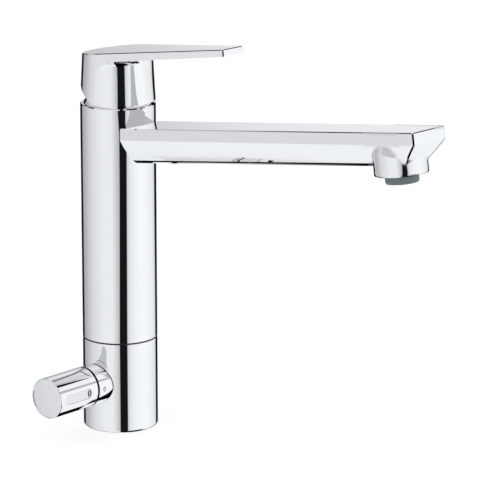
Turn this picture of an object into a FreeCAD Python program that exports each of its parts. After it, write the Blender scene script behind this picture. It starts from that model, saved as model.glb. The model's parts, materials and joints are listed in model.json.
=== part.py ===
import FreeCAD, Part
import math
import os

from FreeCAD import Placement, Rotation, Vector

# Single-lever kitchen mixer tap with a swivelling spout and a side shut-off valve.
# Millimetres, +Z up. The origin is the centre of the base on the worktop,
# and +X is the direction of the spout at rest.

# Clearances
running_gap = 0.10      # round faces that turn in each other
pin_gap = 0.05          # a pin or spindle in its hole
seat_gap = 0.05         # round faces of pieces fixed to each other
free_gap = 0.40         # pieces that only pass each other

# Base and column
body_radius = 23.1
base_height = 56.6
base_edge_radius = 1.4
base_wall = 4.3
base_recess = 12.0
joint_height = 1.0      # the dark line between the base and the column
joint_inset = 0.5
column_height = 146.8
column_wall = 2.6
column_mouth_step = 0.7
column_mouth_depth = 7.0
column_edge = 0.5
base_seal_inset = 0.6
base_seal_width = 1.6
base_seal_height = 1.8

# Spout, measured along its sloping top face
spout_rise_deg = 8.14
spout_drop = 14.2       # top face below the rim of the column, on its axis
spout_length = 250.6
spout_root_half_width = 15.5
spout_tip_half_width = 14.1
spout_band = 7.2
spout_root_depth = 22.6
spout_tip_depth = 20.0
spout_root_foot = 6.2
spout_tip_foot = 7.75
spout_root_bulge = 0.6
spout_tip_bulge = 0.3
spout_heel_run = 2.5    # two facets between the flank and the underside
spout_heel_height = 2.05
spout_ridge_run = 1.2   # upper one of the two
spout_ridge_height = 1.15
spout_undercut_run = 12.2
spout_wall = 2.8
spout_edge = 0.5
spout_end_edge = 0.8

# Nozzle boss and aerator
nozzle_setback = 23.6   # axis of the nozzle, back from the end of the spout
nozzle_radius = 15.66
nozzle_neck_inset = 1.9
nozzle_neck_length = 8.0
nozzle_depth = 25.8
nozzle_edge = 0.7
socket_radius = 11.0
socket_depth = 8.8
aerator_step = 1.25
aerator_reach = 5.1
aerator_edge = 1.26
aerator_wall = 1.4
aerator_lip = 0.7
aerator_seal_height = 1.2
jet_disc_height = 1.6
jet_hole_radius = 0.6
jet_holes = 12
jet_outer_share = 0.75
jet_inner_share = 0.4
cell_pitch = 2.5
cell_wall = 0.5
cell_rings = 3
straightener_height = 4.5
straightener_inset = 0.6
straightener_sleeve = 1.0
thread_setback = 1.0

# Inner core
core_step = 3.8
spigot_floor = 4.9      # between the bore of the valve and the core
core_land = 8.0
seal_land = 12.0
seal_section = 1.25
port_wall = 1.8
chamber_height = 22.0
cup_skin = 1.9
cup_annulus = 1.15
cup_floor = 4.0
cup_top_land = 4.6
port_circle = 8.0
port_radius = 3.2
mix_port_drop = 10.0    # axis of the outlet below the floor of the cup
stop_pin_radius = 1.5
stop_pin_reach = 1.0
stop_pin_length = 6.0
swivel_limit_deg = 70.0

# Connections under the base
inlet_radius = 4.6
inlet_length = 12.0
outlet_circle = 14.0
outlet_angle_deg = 303.0
stud_circle = 13.0
stud_angle_deg = 32.0
stud_radius = 3.4
stud_length = 14.0

# Cartridge
cartridge_depth = 28.4  # seat of the cartridge below the rim of the column
cartridge_base_height = 5.0
cartridge_shoulder = 18.5
cartridge_neck_height = 4.0
cartridge_neck_step = 3.0
cartridge_neck_wall = 2.2
cartridge_web = 0.8
fixed_disc_height = 3.0
fixed_disc_port_radius = 2.8
moving_disc_room = 3.8
moving_disc_height = 2.4
pocket_back = -2.4
pocket_front = 6.6
pocket_back_half = 3.2
pocket_front_half = 3.6
carrier_height = 3.5
guide_height = 13.0
guide_slot_gap = 0.2
pivot_radius = 1.5
pivot_length = 22.0
tilt_limit_deg = 25.0
ball_drop = 6.9
ball_clearance = 0.55
ball_radius = 2.6
shank_radius = 2.0
stem_side = 8.0
stem_width = 7.0
stem_height = 31.5
locating_peg_radius = 1.4
locating_peg_length = 3.0
locating_peg_circle = 12.8
locating_peg_angles_deg = (60.0, 300.0)
port_seal_width = 1.2
port_seal_height = 1.4
nut_height = 4.2
nut_wall = 0.6
nut_hex_height = 3.4
cover_rim_gap = 0.2
cover_rise = 0.2
cover_wall = 1.5
cover_opening = 14.5
cover_skirt = 5.2

# Lever
lever_gap = 1.85        # skirt of the lever above the rim of the column
lever_rise_deg = 8.28
lever_height = 30.95
lever_skirt_inset = 0.1
lever_draft = 1.6
lever_length = 97.8
lever_tip_half_width = 8.65
lever_root_thickness = 5.4
lever_tip_thickness = 4.2
lever_under_fillet = 4.0
lever_edge = 0.45
lever_tip_edge = 0.6
lever_overrun = 0.2     # wedge past the tip, as a share of its side
lever_roof = 3.5
lever_skirt_wall = 5.9
lever_hub_radius = 7.5
lever_hub_gap = 1.2
relief_start = 0.2
relief_angle_deg = 30.7
set_screw_radius = 2.45
set_screw_rise = 28.5   # above the pivot
plug_radius = 3.1
plug_length = 3.0

# Side shut-off valve, measured outward from the axis of the column
valve_height = 30.3
valve_azimuth_deg = 272.0
valve_radius = 12.55
collar_end = 31.6
knob_gap = 1.2
knob_length = 32.4
knob_edge = 0.55
knob_wall = 1.7
knob_room = 7.4
knob_web = 2.65         # between the spindle and the head of the screw
pointer_start = 6.0
pointer_margin = 3.9
pointer_width = 6.0
pointer_depth = 0.9
pointer_edge = 0.4
cap_rim = 0.7
cap_height = 2.6
cap_crown = 0.4
cap_room = 9.4
cap_spigot_radius = 6.0
cap_spigot_length = 4.0
cap_spigot_wall = 1.2
valve_seat = 12.0
valve_inlet_radius = 4.5
valve_cage_gap = 0.8
valve_cage_length = 8.5
valve_cage_wall = 0.9
valve_hex_land = 3.55   # wall of the collar over the flats
valve_hex_height = 3.2
valve_neck_radius = 7.0
valve_neck_length = 5.0
valve_window_radius = 1.8
valve_disc_height = 2.0
valve_disc_gap = 0.4
valve_disc_hub = 1.2
valve_opening_deg = 80.0
valve_opening_middles_deg = (45.0, 225.0)
valve_seal_height = 1.0
valve_dog_height = 2.0
spindle_radius = 4.0
spindle_seal_section = 0.5
spline_teeth = 18
spline_depth = 0.4
clip_radius = 5.2
clip_height = 0.8
knob_screw_radius = 1.6
knob_screw_length = 9.0
knob_screw_head_radius = 3.4
knob_screw_head_height = 2.4
knob_screw_hole_radius = 2.0

# Levels and radii that follow from the sizes above
column_bottom = base_height + joint_height
column_top = column_bottom + column_height
column_shoulder = column_top - column_mouth_depth
column_bore_radius = body_radius - column_wall
column_mouth_radius = column_bore_radius + column_mouth_step
land_radius = column_bore_radius - running_gap
spout_top_height = column_top - spout_drop
nozzle_reach = spout_length - nozzle_setback
aerator_radius = socket_radius - aerator_step
valve_hex_flats = 2 * (valve_radius - valve_hex_land)
valve_bore_radius = valve_hex_flats / 2
valve_cage_radius = valve_bore_radius - valve_cage_gap
spigot_bottom = valve_height + valve_bore_radius + spigot_floor
core_radius = land_radius - core_step
chamber_radius = port_circle + port_radius + port_wall
cup_outer_radius = column_bore_radius - cup_annulus
cup_radius = cup_outer_radius - cup_skin
cartridge_radius = cup_radius - seat_gap
cartridge_neck_radius = cartridge_radius - cartridge_neck_step
cartridge_lip = cartridge_neck_radius - cartridge_neck_wall
disc_chamber_radius = cartridge_neck_radius - cartridge_web
moving_disc_radius = disc_chamber_radius - moving_disc_room
nut_flats = 2 * (cartridge_neck_radius + nut_wall)
guide_slot = stem_width + 2 * guide_slot_gap
cartridge_floor = column_top - cartridge_depth
cup_bottom = cartridge_floor - cup_floor
mix_port_height = cup_bottom - mix_port_drop
chamber_bottom = cup_bottom - chamber_height
seal_land_height = chamber_bottom - seal_land
cartridge_base_top = cartridge_floor + cartridge_base_height
fixed_disc_top = cartridge_base_top + fixed_disc_height
moving_disc_bottom = fixed_disc_top + pin_gap
moving_disc_top = moving_disc_bottom + moving_disc_height
carrier_top = moving_disc_top + carrier_height
guide_bottom = carrier_top + free_gap
cartridge_shoulder_height = cartridge_base_top + cartridge_shoulder
guide_shoulder = cartridge_shoulder_height - running_gap
cartridge_top = cartridge_shoulder_height + cartridge_neck_height
pivot_height = moving_disc_top + ball_clearance + ball_radius + ball_drop
cover_radius = column_mouth_radius - cover_rim_gap
cover_base = column_top + cover_rise
cover_sphere = math.hypot(cover_radius, cover_base - pivot_height)
cover_bottom = cover_base - cover_skirt
lever_bottom = column_top + lever_gap
lever_top_height = lever_bottom + lever_height
lever_skirt_radius = body_radius - lever_skirt_inset
lever_top_radius = lever_skirt_radius - lever_draft
lever_room_radius = lever_skirt_radius - lever_skirt_wall
lever_sphere = cover_sphere + free_gap
set_screw_height = pivot_height + set_screw_rise
knob_start = collar_end + knob_gap
knob_end = knob_start + knob_length
cap_bottom = knob_end - cap_height
hub_end = cap_bottom - cap_room
spindle_end = hub_end - knob_web
pointer_length = knob_length - pointer_start - pointer_margin
hot_angle_deg = 120.0
cold_angle_deg = 240.0
mix_angle_deg = 0.0
reach = 500.0           # longer than the tap, for cutting
trim_tolerance = 0.001  # faces this near to each other count as touching

up = Vector(0, 0, 1)
origin = Vector(0, 0, 0)


# Helpers

def tube(outer, inner, bottom, top):
    """Ring about Z, or a plain cylinder where inner is zero."""
    ring = Part.makeCylinder(outer, top - bottom, Vector(0, 0, bottom))
    if inner > 0:
        ring = ring.cut(Part.makeCylinder(inner, top - bottom, Vector(0, 0, bottom)))
    return ring


def drill(radius, x, y, bottom, top):
    """Upright round hole or peg at (x, y)."""
    return Part.makeCylinder(radius, top - bottom, Vector(x, y, bottom))


def polar(radius, angle_deg):
    angle = math.radians(angle_deg)
    return radius * math.cos(angle), radius * math.sin(angle)


def turned(points):
    """Solid of revolution about Z from (radius, height) points."""
    outline = closed([Vector(r, 0, z) for r, z in points])
    return Part.Face(outline).revolve(origin, up, 360)


def torus(radius, section, height):
    return Part.makeTorus(radius, section, Vector(0, 0, height))


def prism(points, height, bottom):
    """Upright prism over a closed outline of (x, y) points."""
    outline = closed([Vector(x, y, bottom) for x, y in points])
    return Part.Face(outline).extrude(Vector(0, 0, height))


def hexagon(flats, height, bottom):
    corner = flats / 2 / math.cos(math.pi / 6)
    return prism([polar(corner, 60 * i) for i in range(6)], height, bottom)


def slab(points, half_width):
    """Plate across Y over a closed outline of (x, z) points."""
    outline = closed([Vector(x, -half_width, z) for x, z in points])
    return Part.Face(outline).extrude(Vector(0, 2 * half_width, 0))


def closed(corners):
    return Part.makePolygon(corners + [corners[0]])


def bar_between(first, last):
    """Flat-sided solid between two outlines with the same number of corners."""
    faces = [Part.Face(closed(first)), Part.Face(closed(last))]
    for i in range(len(first)):
        after = (i + 1) % len(first)
        faces.append(Part.Face(closed([first[i], first[after], last[after], last[i]])))
    return Part.makeSolid(Part.makeShell(faces))


def joined(shapes):
    return shapes[0].multiFuse(shapes[1:]).removeSplitter()


def placed(shape, frame):
    moved = shape.copy()
    moved.Placement = frame.multiply(shape.Placement)
    return moved


def edges_where(shape, test):
    return [edge for edge in shape.Edges if test(edge)]


def middle(edge):
    first, last = edge.ParameterRange
    return edge.valueAt((first + last) / 2)


def rims_at(shape, height, radius):
    """Round edges about Z of one height and radius."""
    def found(edge):
        wide = edge.BoundBox.XLength > 2 * radius - seat_gap
        return wide and abs(middle(edge).z - height) < seat_gap and edge.Length > 2 * radius

    return edges_where(shape, found)


def port(angle_deg):
    return polar(port_circle, angle_deg)


valve_out = Vector(*polar(1.0, valve_azimuth_deg), 0)
valve_across = up.cross(valve_out)
valve_frame = Placement(
    Vector(0, 0, valve_height),
    Rotation(valve_across, up, valve_out, "ZXY"),
)
spout_frame = Placement(
    Vector(0, 0, spout_top_height), Rotation(Vector(0, 1, 0), -spout_rise_deg)
)
lever_frame = Placement(
    Vector(0, 0, lever_top_height), Rotation(Vector(0, 1, 0), -lever_rise_deg)
)


# Base

def base_body():
    shell = turned([(0, 0), (body_radius, 0), (body_radius, base_height), (0, base_height)])
    shell = shell.makeFillet(base_edge_radius, rims_at(shell, 0, body_radius))
    collar = placed(tube(valve_radius, 0, 0, collar_end), valve_frame)
    body = shell.fuse(collar)
    recess_radius = body_radius - base_wall
    groove_outer = body_radius - base_seal_inset - base_edge_radius
    cuts = [
        tube(recess_radius, 0, 0, base_recess),
        tube(groove_outer, groove_outer - base_seal_width, 0, base_seal_height),
        tube(core_radius, 0, spigot_bottom, base_height),
    ]
    for angle in (hot_angle_deg, cold_angle_deg):
        x, y = port(angle)
        cuts.append(drill(port_radius, x, y, base_recess, spigot_bottom))
        cuts.append(drill(inlet_radius, x, y, base_recess, base_recess + inlet_length))
    x, y = polar(outlet_circle, outlet_angle_deg)
    outlet_top = valve_height - port_radius
    cuts.append(drill(port_radius, x, y, base_recess, outlet_top))
    outlet_mouth = min(inlet_length, valve_height - valve_bore_radius - base_recess)
    cuts.append(drill(inlet_radius, x, y, base_recess, base_recess + outlet_mouth))
    x, y = polar(stud_circle, stud_angle_deg)
    cuts.append(drill(stud_radius, x, y, base_recess, base_recess + stud_length))
    hex_room = valve_hex_flats / 2 / math.cos(math.pi / 6) + free_gap
    hex_seat = collar_end - valve_hex_height - free_gap
    for radius, start, end in (
        (valve_inlet_radius, port_circle - port_radius, valve_seat),
        (valve_bore_radius, valve_seat, hex_seat),
        (hex_room, hex_seat, collar_end),
    ):
        cuts.append(placed(tube(radius, 0, start, end), valve_frame))
    return body.cut(cuts)


def base_seal():
    outer = body_radius - base_seal_inset - base_edge_radius - seat_gap
    inner = outer - base_seal_width + 2 * seat_gap
    return tube(outer, inner, 0, base_seal_height)


def lower_slide_ring():
    outer = body_radius - joint_inset
    return tube(outer, core_radius + seat_gap, base_height, column_bottom - seat_gap)


# Inner core

def inner_core():
    land_bottom = column_bottom + seat_gap
    land_top = column_shoulder - seat_gap
    land_start = land_top - cup_top_land
    cover_thread = cover_radius - cover_wall - seat_gap
    core = turned([
        (0, spigot_bottom),
        (core_radius - seat_gap, spigot_bottom),
        (core_radius - seat_gap, land_bottom),
        (land_radius, land_bottom),
        (land_radius, land_bottom + core_land),
        (chamber_radius, land_bottom + core_land),
        (chamber_radius, seal_land_height),
        (land_radius, seal_land_height),
        (land_radius, chamber_bottom),
        (chamber_radius, chamber_bottom),
        (chamber_radius, cup_bottom),
        (cup_outer_radius, cup_bottom),
        (cup_outer_radius, land_start),
        (land_radius, land_start),
        (land_radius, land_top),
        (cover_thread, land_top),
        (cover_thread, cover_base - seat_gap),
        (0, cover_base - seat_gap),
    ])
    cuts = [tube(cup_radius, 0, cartridge_floor, column_top + free_gap)]
    for angle in (hot_angle_deg, cold_angle_deg):
        x, y = port(angle)
        cuts.append(drill(port_radius, x, y, spigot_bottom, cartridge_floor))
    x, y = port(mix_angle_deg)
    cuts.append(drill(port_radius, x, y, mix_port_height, cartridge_floor))
    mix_exit = Part.makeCylinder(
        port_radius, chamber_radius, Vector(x, y, mix_port_height), Vector(1, 0, 0)
    )
    cuts.append(mix_exit)
    for height in spout_seal_heights():
        cuts.append(seal_groove(height))
    cuts.append(stop_pin_bar(stop_pin_radius + seat_gap))
    cuts.extend(locating_pegs(locating_peg_radius + seat_gap))
    return core.cut(cuts)


def spout_seal_heights():
    upper_land_top = column_shoulder - seat_gap
    return seal_land_height + seal_land / 2, upper_land_top - cup_top_land / 2


def seal_groove(height):
    half = seal_section + seat_gap
    floor = land_radius - 2 * seal_section - seat_gap
    return tube(land_radius + running_gap, floor, height - half, height + half)


def spout_seal(height):
    return torus(land_radius - seal_section, seal_section, height)


def stop_pin_bar(radius):
    outer_end = land_radius + stop_pin_reach
    height = column_bottom + core_land / 2
    return Part.makeCylinder(
        radius, stop_pin_length, Vector(-outer_end, 0, height), Vector(1, 0, 0)
    )


def stop_groove():
    """Arc inside the foot of the column that the stop pin runs along."""
    floor_radius = land_radius + stop_pin_reach + free_gap
    pin_half_deg = math.degrees(math.asin((stop_pin_radius + free_gap) / land_radius))
    half_deg = swivel_limit_deg + pin_half_deg
    height = core_land / 2 + stop_pin_radius + free_gap
    ring = Part.makeCylinder(
        floor_radius, height, Vector(0, 0, column_bottom), up, 2 * half_deg
    )
    return ring.rotated(origin, up, 180 - half_deg)


def upper_slide_ring():
    inner = cover_radius - cover_wall
    bottom = column_shoulder + seat_gap
    return tube(column_mouth_radius - running_gap, inner, bottom, cover_bottom - seat_gap)


# Spout

def along_spout(distance, root, tip):
    """Size of the tapering spout at a distance along it."""
    return root + (tip - root) * distance / spout_length


def spout_section(distance):
    """Closed outline across the spout: flat top, upright band, bulged flank, faceted heel."""
    half = along_spout(distance, spout_root_half_width, spout_tip_half_width)
    depth = along_spout(distance, spout_root_depth, spout_tip_depth)
    foot = along_spout(distance, spout_root_foot, spout_tip_foot)
    bulge = along_spout(distance, spout_root_bulge, spout_tip_bulge)
    band = Vector(distance, half, -spout_band)
    flank_end = Vector(distance, foot + spout_heel_run, spout_heel_height - depth)
    chord = flank_end - band
    outward = Vector(0, -chord.z, chord.y).normalize()
    flank_middle = band + chord * 0.5 + outward * bulge
    heel_end = Vector(distance, foot, -depth)
    ridge = flank_end - Vector(0, spout_ridge_run, spout_ridge_height)
    top = Vector(distance, half, 0)

    def mirrored(point):
        return Vector(point.x, -point.y, point.z)

    right = [
        Part.LineSegment(top, band),
        Part.Arc(band, flank_middle, flank_end),
        Part.LineSegment(flank_end, ridge),
        Part.LineSegment(ridge, heel_end),
    ]
    left = [
        Part.LineSegment(mirrored(heel_end), mirrored(ridge)),
        Part.LineSegment(mirrored(ridge), mirrored(flank_end)),
        Part.Arc(mirrored(flank_end), mirrored(flank_middle), mirrored(band)),
        Part.LineSegment(mirrored(band), mirrored(top)),
    ]
    bottom = Part.LineSegment(heel_end, mirrored(heel_end))
    lid = Part.LineSegment(mirrored(top), top)
    return Part.Wire([piece.toShape() for piece in right + [bottom] + left + [lid]])


def spout_arm():
    """Tapering bar whose end face leans back below the band, with its sharp edges broken."""
    arm = Part.makeLoft([spout_section(0), spout_section(spout_length)], True, True)
    lean = spout_undercut_run / (spout_tip_depth - spout_band)
    undercut = slab(
        [
            (spout_length, -spout_band),
            (spout_length + reach, -spout_band),
            (spout_length + reach, -spout_band - reach),
            (spout_length - lean * reach, -spout_band - reach),
        ],
        reach,
    )
    arm = arm.cut(undercut)
    end = spout_length - spout_undercut_run

    def beside_end(edge):
        at = middle(edge)
        beside = abs(at.y) > spout_tip_foot + spout_heel_run
        return beside and at.x > end + spout_end_edge and at.z < -spout_edge

    def around_top(edge):
        at = middle(edge)
        return abs(at.z) < seat_gap and at.x > spout_edge

    arm = arm.makeChamfer(spout_end_edge, edges_where(arm, beside_end))
    return arm.makeChamfer(spout_edge, edges_where(arm, around_top))


def nozzle_boss():
    """Round boss whose neck swells out of the flanks in an arc and runs on as a cylinder."""
    neck_end = spout_band + nozzle_neck_length
    sweep = (nozzle_neck_inset ** 2 + nozzle_neck_length ** 2) / (2 * nozzle_neck_inset)
    half_turn = math.asin(nozzle_neck_length / sweep) / 2
    start = Vector(nozzle_radius - nozzle_neck_inset, 0, -spout_band)
    halfway = Vector(
        nozzle_radius - sweep + sweep * math.cos(half_turn),
        0,
        -neck_end + sweep * math.sin(half_turn),
    )
    end = Vector(nozzle_radius, 0, -neck_end)
    rim = Vector(nozzle_radius, 0, -nozzle_depth)
    floor = Vector(0, 0, -nozzle_depth)
    head = Vector(0, 0, -spout_band)
    outline = Part.Wire([
        Part.LineSegment(head, start).toShape(),
        Part.Arc(start, halfway, end).toShape(),
        Part.LineSegment(end, rim).toShape(),
        Part.LineSegment(rim, floor).toShape(),
        Part.LineSegment(floor, head).toShape(),
    ])
    boss = Part.Face(outline).revolve(origin, up, 360)
    boss = boss.makeFillet(nozzle_edge, rims_at(boss, -nozzle_depth, nozzle_radius))
    boss.rotate(origin, up, 180)
    boss.translate(Vector(nozzle_reach, 0, 0))
    return boss


def waterway():
    """Passage from the column to the nozzle, one wall inside the spout."""
    socket_top = nozzle_depth - socket_depth

    def outline(distance, floor):
        half = along_spout(distance, spout_root_half_width, spout_tip_half_width)
        foot = along_spout(distance, spout_root_foot, spout_tip_foot)
        wide = half - spout_wall
        narrow = foot + spout_heel_run - spout_wall / 2
        return closed([
            Vector(distance, wide, -spout_wall),
            Vector(distance, wide, -spout_band),
            Vector(distance, narrow, -floor),
            Vector(distance, -narrow, -floor),
            Vector(distance, -wide, -spout_band),
            Vector(distance, -wide, -spout_wall),
        ])

    start = column_bore_radius / 2
    end = nozzle_reach + socket_radius - spout_wall
    passage = Part.makeLoft(
        [
            outline(start, spout_root_depth - spout_wall),
            outline(end, socket_top - spout_wall / 2),
        ],
        True,
        True,
    )
    throat = drill(socket_radius - spout_wall, nozzle_reach, 0, -socket_top, -spout_band)
    return passage.fuse(throat)


def spout():
    column = tube(body_radius, 0, column_bottom, column_top)
    column = column.makeChamfer(column_edge, rims_at(column, column_top, body_radius))
    arm = placed(joined([spout_arm(), nozzle_boss()]), spout_frame)
    casting = column.fuse(arm)
    socket = drill(socket_radius, nozzle_reach, 0, -nozzle_depth, -(nozzle_depth - socket_depth))
    return casting.cut([
        tube(column_bore_radius, 0, column_bottom, column_top),
        tube(column_mouth_radius, 0, column_shoulder, column_top),
        stop_groove(),
        placed(waterway(), spout_frame),
        placed(socket, spout_frame),
    ])


def in_nozzle(shape):
    """Move a piece turned about Z, with Z = 0 on the spout's top face, to the nozzle."""
    moved = shape.copy()
    moved.translate(Vector(nozzle_reach, 0, 0))
    return placed(moved, spout_frame)


socket_top = nozzle_depth - socket_depth
housing_top = socket_top + aerator_seal_height
aerator_bottom = nozzle_depth + aerator_reach
aerator_bore = aerator_radius - aerator_wall


def aerator_seal():
    outer = socket_radius - seat_gap
    return in_nozzle(tube(outer, aerator_bore, -housing_top, -socket_top))


def aerator_housing():
    thread = socket_radius - seat_gap
    thread_end = nozzle_depth - thread_setback
    lip_top = -aerator_bottom + straightener_inset
    housing = turned([
        (aerator_bore, -housing_top),
        (thread, -housing_top),
        (thread, -thread_end),
        (aerator_radius, -thread_end),
        (aerator_radius, -aerator_bottom),
        (aerator_bore - aerator_lip, -aerator_bottom),
        (aerator_bore - aerator_lip, lip_top),
        (aerator_bore, lip_top),
    ])
    lower_rim = rims_at(housing, -aerator_bottom, aerator_radius)
    return in_nozzle(housing.makeFillet(aerator_edge, lower_rim))


def jet_disc():
    disc_bottom = -housing_top - jet_disc_height
    disc = tube(aerator_bore - seat_gap, 0, disc_bottom, -housing_top)
    holes = []
    for ring, count in ((jet_outer_share, jet_holes), (jet_inner_share, jet_holes // 2)):
        for i in range(count):
            x, y = polar(ring * aerator_bore, 360 / count * i)
            holes.append(drill(jet_hole_radius, x, y, disc_bottom, -housing_top))
    return in_nozzle(disc.cut(holes))


def flow_straightener():
    """Honeycomb across the outlet, on a sleeve that holds the jet disc up."""
    bottom = -aerator_bottom + straightener_inset
    top = -housing_top - jet_disc_height
    comb = tube(aerator_bore - seat_gap, 0, bottom, bottom + straightener_height)
    cells = []
    for row in range(-cell_rings, cell_rings + 1):
        columns = 2 * cell_rings + 1 - abs(row)
        for i in range(columns):
            x = (i - (columns - 1) / 2) * cell_pitch
            y = row * cell_pitch * math.cos(math.pi / 6)
            cell = hexagon(cell_pitch - cell_wall, straightener_height, bottom)
            cell.rotate(origin, up, 30)
            cell.translate(Vector(x, y, 0))
            cells.append(cell)
    sleeve_bore = aerator_bore - straightener_sleeve
    sleeve = tube(aerator_bore - seat_gap, sleeve_bore, bottom + straightener_height, top)
    return in_nozzle(joined([comb.cut(cells), sleeve]))


# Cartridge

def locating_pegs(radius):
    bottom = cartridge_floor - locating_peg_length
    pegs = []
    for angle in locating_peg_angles_deg:
        x, y = polar(locating_peg_circle, angle)
        pegs.append(drill(radius, x, y, bottom, cartridge_floor))
    return pegs


def cartridge_ports(radius, bottom, top):
    holes = []
    for angle in (hot_angle_deg, cold_angle_deg, mix_angle_deg):
        x, y = port(angle)
        holes.append(drill(radius, x, y, bottom, top))
    return holes


def cartridge_base():
    plate = tube(cartridge_radius, 0, cartridge_floor, cartridge_base_top)
    seat_top = cartridge_floor + port_seal_height
    seal_outer = port_radius + port_seal_width
    holes = cartridge_ports(port_radius, cartridge_floor, cartridge_base_top)
    seats = cartridge_ports(seal_outer + seat_gap, cartridge_floor, seat_top)
    return joined([plate] + locating_pegs(locating_peg_radius)).cut(holes + seats)


def cartridge_port_seals():
    top = cartridge_floor + port_seal_height
    outer = cartridge_ports(port_radius + port_seal_width, cartridge_floor, top)
    inner = cartridge_ports(port_radius, cartridge_floor, top)
    return Part.Compound([ring.cut(hole) for ring, hole in zip(outer, inner)])


def cartridge_housing():
    return turned([
        (disc_chamber_radius, cartridge_base_top),
        (cartridge_radius, cartridge_base_top),
        (cartridge_radius, cartridge_shoulder_height),
        (cartridge_neck_radius, cartridge_shoulder_height),
        (cartridge_neck_radius, cartridge_top),
        (cartridge_lip, cartridge_top),
        (cartridge_lip, cartridge_shoulder_height),
        (disc_chamber_radius, cartridge_shoulder_height),
    ])


def fixed_ceramic_disc():
    disc = tube(disc_chamber_radius - seat_gap, 0, cartridge_base_top, fixed_disc_top)
    return disc.cut(cartridge_ports(fixed_disc_port_radius, cartridge_base_top, fixed_disc_top))


def moving_ceramic_disc():
    disc = tube(moving_disc_radius, 0, moving_disc_bottom, moving_disc_top)
    pocket_height = moving_disc_height / 2
    outline = [
        (pocket_back, -pocket_back_half),
        (pocket_front, -pocket_front_half),
        (pocket_front, pocket_front_half),
        (pocket_back, pocket_back_half),
    ]
    return disc.cut(prism(outline, pocket_height, moving_disc_bottom))


def disc_carrier():
    socket = ball_radius + free_gap
    return tube(moving_disc_radius, socket, moving_disc_top, carrier_top)


def stem_guide():
    flange = disc_chamber_radius - running_gap
    neck = cartridge_lip - running_gap
    guide_top = guide_bottom + guide_height
    body = turned([
        (0, guide_bottom),
        (flange, guide_bottom),
        (flange, guide_shoulder),
        (neck, guide_shoulder),
        (neck, guide_top),
        (0, guide_top),
    ])
    lean = math.tan(math.radians(tilt_limit_deg))
    half = stem_side / 2
    rise = guide_top - pivot_height
    drop = pivot_height - guide_bottom
    front = half + free_gap
    back_root = half / math.cos(math.radians(tilt_limit_deg)) + free_gap
    back = back_root + rise * lean
    ahead = drop * lean + half + free_gap
    slot = slab(
        [
            (-half - free_gap, guide_bottom),
            (ahead, guide_bottom),
            (ahead, pivot_height),
            (front, guide_top),
            (-back, guide_top),
            (-back_root, pivot_height),
        ],
        guide_slot / 2,
    )
    pin_hole = cross_bar(pivot_radius + seat_gap, pivot_length / 2 + seat_gap)
    return body.cut([slot, pin_hole])


def cross_bar(radius, half_length):
    start = Vector(0, -half_length, pivot_height)
    return Part.makeCylinder(radius, 2 * half_length, start, Vector(0, 1, 0))


def pivot_pin():
    return cross_bar(pivot_radius, pivot_length / 2)


def lever_stem():
    half = stem_side / 2
    side = stem_width / 2
    shaft = Part.makeBox(
        stem_side, stem_width, stem_height, Vector(-half, -side, pivot_height)
    )
    eye = cross_bar(half, side)
    shank = tube(shank_radius, 0, pivot_height - ball_drop, pivot_height)
    ball = Part.makeSphere(ball_radius, Vector(0, 0, pivot_height - ball_drop))
    stem = joined([shaft, eye, shank, ball])
    return stem.cut(cross_bar(pivot_radius + pin_gap, stem_width))


def cartridge_nut():
    thread = cup_radius - seat_gap
    bore = cartridge_neck_radius + seat_gap
    bottom = cartridge_shoulder_height
    ring = tube(thread, 0, bottom, bottom + nut_height)
    hexed = hexagon(nut_flats, nut_hex_height, bottom + nut_height)
    top = bottom + nut_height + nut_hex_height
    return joined([ring, hexed]).cut(tube(bore, 0, bottom, top))


def cover_cap():
    centre = Vector(0, 0, pivot_height)
    dome = Part.makeSphere(cover_sphere, centre)
    room = Part.makeSphere(cover_sphere - cover_wall, centre)
    above = tube(reach, 0, cover_base, cover_base + reach)
    shell = dome.cut(room).common(above)
    skirt = tube(cover_radius, cover_radius - cover_wall, cover_bottom, cover_base)
    mouth = tube(cover_opening, 0, cover_base, cover_base + reach)
    return joined([shell.cut(mouth), skirt])


# Lever

def below_lever_top(drop):
    block = Part.makeBox(2 * reach, 2 * reach, reach, Vector(-reach, -reach, -reach - drop))
    return placed(block, lever_frame)


lever_taper = (lever_skirt_radius - lever_top_radius) / (lever_top_height - lever_bottom)
lever_apex = lever_bottom + lever_skirt_radius / lever_taper


def lever_cap(inset):
    """Tapered round body of the lever, cut off by its sloping top."""
    height = 2 * (lever_top_height - lever_bottom)
    cone = Part.makeCone(
        lever_skirt_radius - inset,
        lever_skirt_radius - inset - lever_taper * height,
        height,
        Vector(0, 0, lever_bottom),
    )
    return cone.common(below_lever_top(inset))


def lever_wedge():
    """Wedge that narrows to the tip, its two sides tangent to the cone of the cap."""
    rise = math.radians(lever_rise_deg)
    tip_x = lever_length * math.cos(rise)
    tip_height = lever_top_height + lever_length * math.sin(rise)
    radius = lever_skirt_radius - lever_taper * (tip_height - lever_bottom)
    tip_distance = math.hypot(tip_x, lever_tip_half_width)
    slope = math.asin(radius / tip_distance) - math.atan2(lever_tip_half_width, tip_x)
    touch = Vector(radius * math.sin(slope), radius * math.cos(slope), 0)
    tip = Vector(tip_x, lever_tip_half_width, 0)
    past_tip = tip + (tip - touch) * lever_overrun

    def outline(height):
        scale = (lever_apex - height) / (lever_apex - tip_height)
        corners = [
            touch,
            past_tip,
            Vector(past_tip.x, -past_tip.y, 0),
            Vector(touch.x, -touch.y, 0),
        ]
        return [Vector(at.x * scale, at.y * scale, height) for at in corners]

    return bar_between(outline(lever_bottom), outline(tip_height + lever_root_thickness))


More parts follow.
